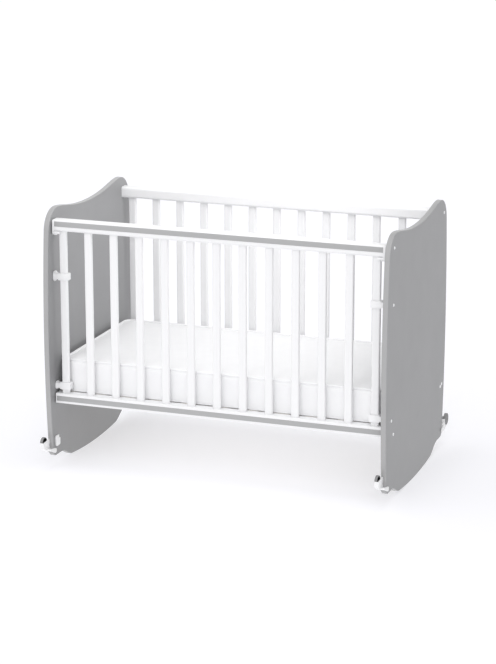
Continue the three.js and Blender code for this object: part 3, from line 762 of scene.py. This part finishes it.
class CRIB_OT_bolts(bpy.types.Operator):
    """Puts the bolt heads in the outer faces of the end boards"""
    bl_idname = "crib.bolts"
    bl_label = "Bolts"

    def execute(self, context):
        sizes = context.scene.crib_sizes
        sunk = 0.1 * MM
        places = []
        for rail, behind, height in BOLTS:
            low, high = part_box(rail)
            places.append(((low.y + high.y) / 2 + behind * MM, height * MM))
        spots = []
        facings = []
        for side, sign in (("left", -1), ("right", 1)):
            low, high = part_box(f"{side}_end_board")
            x = low.x if sign < 0 else high.x
            for y, z in places:
                spots.append((x - sign * sunk, y, z))
                facings.append((sign, 0, 0))
        mesh = bpy.data.meshes.new("bolts")
        mesh.from_pydata(spots, [], [])
        attribute = mesh.attributes.new("facing", "FLOAT_VECTOR", "POINT")
        for item, facing in zip(attribute.data, facings):
            item.vector = facing
        piece = new_object("bolts", mesh)
        grow(piece, bolt_tree(), {"Head radius": sizes.bolt_head, "Head height": sizes.bolt_stand,
                                  "Material": finish_for("bolt metal")})
        shade_smooth(piece.data)
        place(piece, "base", "plastic_white")
        return {"FINISHED"}


class CRIB_OT_mattress(bpy.types.Operator):
    """Makes the mattress: a cover swelled by cloth simulation, piping along its edges, and stitches"""
    bl_idname = "crib.mattress"
    bl_label = "Mattress"

    def execute(self, context):
        sizes = context.scene.crib_sizes
        low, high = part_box("mattress")
        middle = (low + high) / 2
        cover = self.blank(low, high, sizes)
        self.swell(context, cover, low, sizes)
        smooth = cover.modifiers.new("smooth", "SUBSURF")
        smooth.levels = smooth.render_levels = 1
        baked(cover)
        cover.data.materials.clear()
        cover.data.materials.append(finish_for("mattress cover"))
        for polygon in cover.data.polygons:
            polygon.use_smooth = True
            polygon.material_index = 0
        half = [max(abs(vertex.co[axis] - middle[axis]) for vertex in cover.data.vertices)
                for axis in (0, 1)]
        lowered, to_wall = 1 * MM, 16 * MM
        levels = ((low.z + sizes.piping - lowered, low.z + to_wall),
                  (high.z - sizes.piping - lowered, high.z - to_wall))
        paths = [self.seam(cover, middle, half, level, wall, sizes) for level, wall in levels]
        place(cover, "base", "mattress_cloth", "mattress")
        bm = bmesh.new()
        for path in paths:
            tube(bm, path, sizes.piping, sides=12)
        piping = object_from("mattress_piping", bm, ["mattress cover"])
        place(piping, "base", "mattress_cloth")
        self.stitches(paths, sizes)
        return {"FINISHED"}

    def blank(self, low, high, sizes):
        """The mattress before it swells, as an even grid of small faces."""
        inset = sizes.start_inset
        middle = (low + high) / 2
        half_x = (high.x - low.x) / 2 - inset
        half_y = (high.y - low.y) / 2 - inset
        bottom = low.z + 1 * MM
        top = high.z - inset
        edge = 11 * MM
        angles = [math.pi / 2 * k / 6 for k in range(7)]
        profile = [(edge * (1 - math.sin(a)), bottom + edge * (1 - math.cos(a))) for a in angles]
        profile += [(edge * (1 - math.cos(a)), top - edge * (1 - math.sin(a))) for a in angles]
        bm = bmesh.new()
        rings = []
        for inward, z in profile:
            outline = rounded_rectangle(half_x - inward, half_y - inward, MATTRESS_CORNER - inward,
                                        steps=10)
            rings.append([bm.verts.new((middle.x + p.x, middle.y + p.y, z)) for p in outline])
        ring_faces(bm, rings)
        bm.faces.new(rings[0])
        bm.faces.new(rings[-1])
        bmesh.ops.recalc_face_normals(bm, faces=bm.faces)
        cover = object_from("mattress_cover", bm, ["mattress cover"])
        remesh = cover.modifiers.new("grid", "REMESH")
        remesh.mode = "VOXEL"
        remesh.voxel_size = sizes.cloth_grid
        return baked(cover)

    def swell(self, context, cover, low, sizes):
        """Blows the cover up like a filled case, held along its underside, and caps how far it moves."""
        held_height = 8 * MM
        start = [vertex.co.copy() for vertex in cover.data.vertices]
        held = cover.vertex_groups.new(name="held")
        held.add([i for i, co in enumerate(start) if co.z < low.z + held_height], 1.0, "REPLACE")
        cloth = cover.modifiers.new("cloth", "CLOTH")
        settings = cloth.settings
        settings.quality = 6
        settings.use_pressure = True
        settings.uniform_pressure_force = 4.0
        settings.effector_weights.gravity = 0.0
        settings.vertex_group_mass = "held"
        settings.tension_stiffness = 18
        settings.compression_stiffness = 18
        settings.bending_stiffness = 0.6
        cloth.collision_settings.use_collision = False
        for number in range(1, sizes.sim_frames + 1):
            context.scene.frame_set(number)
        graph = context.evaluated_depsgraph_get()
        moved = [vertex.co.copy() for vertex in cover.evaluated_get(graph).data.vertices]
        cover.modifiers.clear()
        cover.vertex_groups.clear()
        context.scene.frame_set(1)
        for vertex, before, after in zip(cover.data.vertices, start, moved):
            move = after - before
            if move.length > sizes.puff:
                move = move.normalized() * sizes.puff
            vertex.co = before + move

    def seam(self, cover, middle, half, level, wall, sizes):
        """Draws the cover in along a level line, and returns the line that the piping follows, as far out
        as the cover is at the height of wall. half is half the cover's length and width."""
        outside, core, sunk = (0.7, 0.4), (0.5, 0.2), 0.4
        tree = BVHTree.FromObject(cover, bpy.context.evaluated_depsgraph_get())
        path = []
        # Rays from a line outside the cover, each aimed at the nearest point of a rectangle in its core
        for start in rounded_rectangle(*outside, MATTRESS_CORNER, steps=24):
            aim = Vector([max(-core[axis], min(core[axis], start[axis])) for axis in (0, 1)])
            inward = (aim - start).normalized().to_3d()
            hit, _, _, _ = tree.ray_cast(Vector((middle.x + start.x, middle.y + start.y, wall)), inward)
            if hit is None:
                raise RuntimeError("the mattress seam missed the cover")
            path.append(Vector((hit.x, hit.y, level)) + inward * sizes.piping * sunk)
        reach, depth, rim = 9 * MM, 2.2 * MM, 30 * MM
        for vertex in cover.data.vertices:
            away = abs(vertex.co.z - level)
            out = Vector((vertex.co.x - middle.x, vertex.co.y - middle.y, 0))
            if away < reach and near_wall(out, half) < rim:
                vertex.co -= wall_normal(out, half) * (depth * (1 - away / reach) ** 2)
        return resampled(path, count=360)

    def stitches(self, paths, sizes):
        """A row of stitches just below the upper piping and just above the lower one."""
        thread, gap = 0.45 * MM, 1.2 * MM
        spots = []
        edges = []
        for path, side in zip(paths, (1, -1)):
            away = Vector((0, 0, side * (sizes.piping + gap)))
            first = len(spots)
            count = len(path)
            spots += [point + away for point in path]
            edges += [(first + i, first + (i + 1) % count) for i in range(count)]
        mesh = bpy.data.meshes.new("mattress_stitches")
        mesh.from_pydata(spots, edges, [])
        piece = new_object("mattress_stitches", mesh)
        grow(piece, stitch_tree(), {"Pitch": sizes.stitch, "Thread": thread,
                                    "Material": finish_for("mattress cover")})
        place(piece, "base", "mattress_cloth")


def near_wall(out, half):
    """How far inside the nearest wall a point of the mattress is."""
    return min(half[0] - abs(out.x), half[1] - abs(out.y))


def wall_normal(out, half):
    """The way that the mattress wall faces at a point, turning smoothly round the corners."""
    dx = abs(out.x) - (half[0] - MATTRESS_CORNER)
    dy = abs(out.y) - (half[1] - MATTRESS_CORNER)
    if dx > 0 and dy > 0:
        return Vector((math.copysign(dx, out.x), math.copysign(dy, out.y), 0)).normalized()
    if dx > dy:
        return Vector((math.copysign(1, out.x), 0, 0))
    return Vector((0, math.copysign(1, out.y), 0))


def resampled(path, count):
    """The closed path at even steps."""
    ends = path[1:] + path[:1]
    lengths = [(b - a).length for a, b in zip(path, ends)]
    total = sum(lengths)
    points = []
    index = 0
    passed = 0.0
    for k in range(count):
        target = total * k / count
        while passed + lengths[index] < target:
            passed += lengths[index]
            index += 1
        points.append(path[index].lerp(ends[index], (target - passed) / max(lengths[index], 1e-9)))
    return points


class CRIB_OT_stage(bpy.types.Operator):
    """Lays the floor, hangs the lights and sets the camera"""
    bl_idname = "crib.stage"
    bl_label = "Stage"

    def execute(self, context):
        self.floor()
        self.light(context)
        self.camera(context)
        return {"FINISHED"}

    def floor(self):
        """A wide floor, part paint and part glow, so that it is white right up to its soft shadow."""
        glow_seen, glow_given = 0.37, 0.64
        bm = bmesh.new()
        bmesh.ops.create_grid(bm, x_segments=8, y_segments=8, size=45.0)
        mesh = bpy.data.meshes.new("floor")
        bm.to_mesh(mesh)
        bm.free()
        material = bpy.data.materials.new("floor")
        material.use_nodes = True
        nodes = material.node_tree.nodes
        links = material.node_tree.links
        shader = nodes["Principled BSDF"]
        shader.inputs["Base Color"].default_value = (0.91, 0.91, 0.97, 1.0)
        shader.inputs["Roughness"].default_value = 0.9
        shader.inputs["Specular IOR Level"].default_value = 0.1
        glow = nodes.new("ShaderNodeEmission")
        glow.inputs["Strength"].default_value = 1.24
        mix = nodes.new("ShaderNodeMixShader")
        rays = nodes.new("ShaderNodeLightPath")
        glowing = nodes.new("ShaderNodeMapRange")
        glowing.inputs["To Min"].default_value = glow_given
        glowing.inputs["To Max"].default_value = glow_seen
        links.new(rays.outputs["Is Camera Ray"], glowing.inputs["Value"])
        links.new(glowing.outputs["Result"], mix.inputs["Fac"])
        links.new(shader.outputs[0], mix.inputs[1])
        links.new(glow.outputs[0], mix.inputs[2])
        links.new(mix.outputs[0], nodes["Material Output"].inputs["Surface"])
        mesh.materials.append(material)
        new_object("floor", mesh)

    def light(self, context):
        """A white world, three wide suns, and a softbox over the right board that lights the left one's
        inner face."""
        white_seen, white_given = 1.0, 0.53
        world = bpy.data.worlds.new("studio")
        context.scene.world = world
        world.use_nodes = True
        nodes = world.node_tree.nodes
        links = world.node_tree.links
        background = nodes["Background"]
        background.inputs["Color"].default_value = (1.0, 1.0, 1.0, 1.0)
        rays = nodes.new("ShaderNodeLightPath")
        direct = nodes.new("ShaderNodeMath")
        direct.operation = "MAXIMUM"
        links.new(rays.outputs["Is Camera Ray"], direct.inputs[0])
        links.new(rays.outputs["Is Glossy Ray"], direct.inputs[1])
        strength = nodes.new("ShaderNodeMapRange")
        strength.inputs["To Min"].default_value = white_given
        strength.inputs["To Max"].default_value = white_seen
        links.new(direct.outputs[0], strength.inputs["Value"])
        links.new(strength.outputs["Result"], background.inputs["Strength"])
        suns = (("key", 0.9, 50, -84, 38), ("fill", 0.4, 70, -160, 35), ("top", 0.62, 32, -60, 86))
        for name, power, spread, azimuth, height in suns:
            lamp = bpy.data.lights.new(name, "SUN")
            lamp.energy = power
            lamp.angle = math.radians(spread)
            shining = new_object(name, lamp)
            shining.rotation_euler = Euler((math.radians(90 - height), 0, math.radians(azimuth + 90)))
        lamp = bpy.data.lights.new("softbox", "AREA")
        lamp.shape = "RECTANGLE"
        lamp.size = 0.6
        lamp.size_y = 0.4
        lamp.energy = 9.5
        shining = new_object("softbox", lamp)
        shining.visible_glossy = False
        shining.location = (0.6, 0.0, 1.5)
        shining.rotation_euler = Euler((math.radians(90), 0, math.radians(90)))

    def camera(self, context):
        """The photo's camera, as worked out from the straight edges in it."""
        downward, turn = 15.056, 19.909
        lens = bpy.data.cameras.new("camera")
        lens.sensor_width = 36.0
        lens.lens = 122.16
        lens.clip_end = 200.0
        view = new_object("camera", lens)
        view.location = (2.6232, -7.2452, 2.5395)
        view.rotation_euler = Euler((math.radians(90 - downward), 0, math.radians(turn)))
        context.scene.camera = view


class CRIB_PT_panel(bpy.types.Panel):
    """Lists the crib's sizes, colours and makers"""
    bl_label = "Rocking crib"
    bl_idname = "CRIB_PT_panel"
    bl_space_type = "VIEW_3D"
    bl_region_type = "UI"
    bl_category = "Crib"

    def draw(self, context):
        layout = self.layout
        for operator in OPERATORS:
            layout.operator(operator.bl_idname)
        for group in (context.scene.crib_sizes, context.scene.crib_colours):
            box = layout.box()
            for name in group.__annotations__:
                box.prop(group, name)


OPERATORS = (CRIB_OT_stage, CRIB_OT_boards, CRIB_OT_bars, CRIB_OT_rails, CRIB_OT_guides, CRIB_OT_releases,
             CRIB_OT_casters, CRIB_OT_base, CRIB_OT_bolts, CRIB_OT_mattress)
CLASSES = (CribSizes, CribColours, *OPERATORS, CRIB_PT_panel)


def register():
    for cls in CLASSES:
        bpy.utils.register_class(cls)
    bpy.types.Scene.crib_sizes = PointerProperty(type=CribSizes)
    bpy.types.Scene.crib_colours = PointerProperty(type=CribColours)


def unregister():
    del bpy.types.Scene.crib_sizes
    del bpy.types.Scene.crib_colours
    for cls in reversed(CLASSES):
        bpy.utils.unregister_class(cls)


def main():
    register()
    bpy.context.scene.view_settings.view_transform = "Standard"
    for operator in OPERATORS:
        group, action = operator.bl_idname.split(".")
        getattr(getattr(bpy.ops, group), action)()
    bpy.context.view_layer.update()


if __name__ == "__main__":
    main()
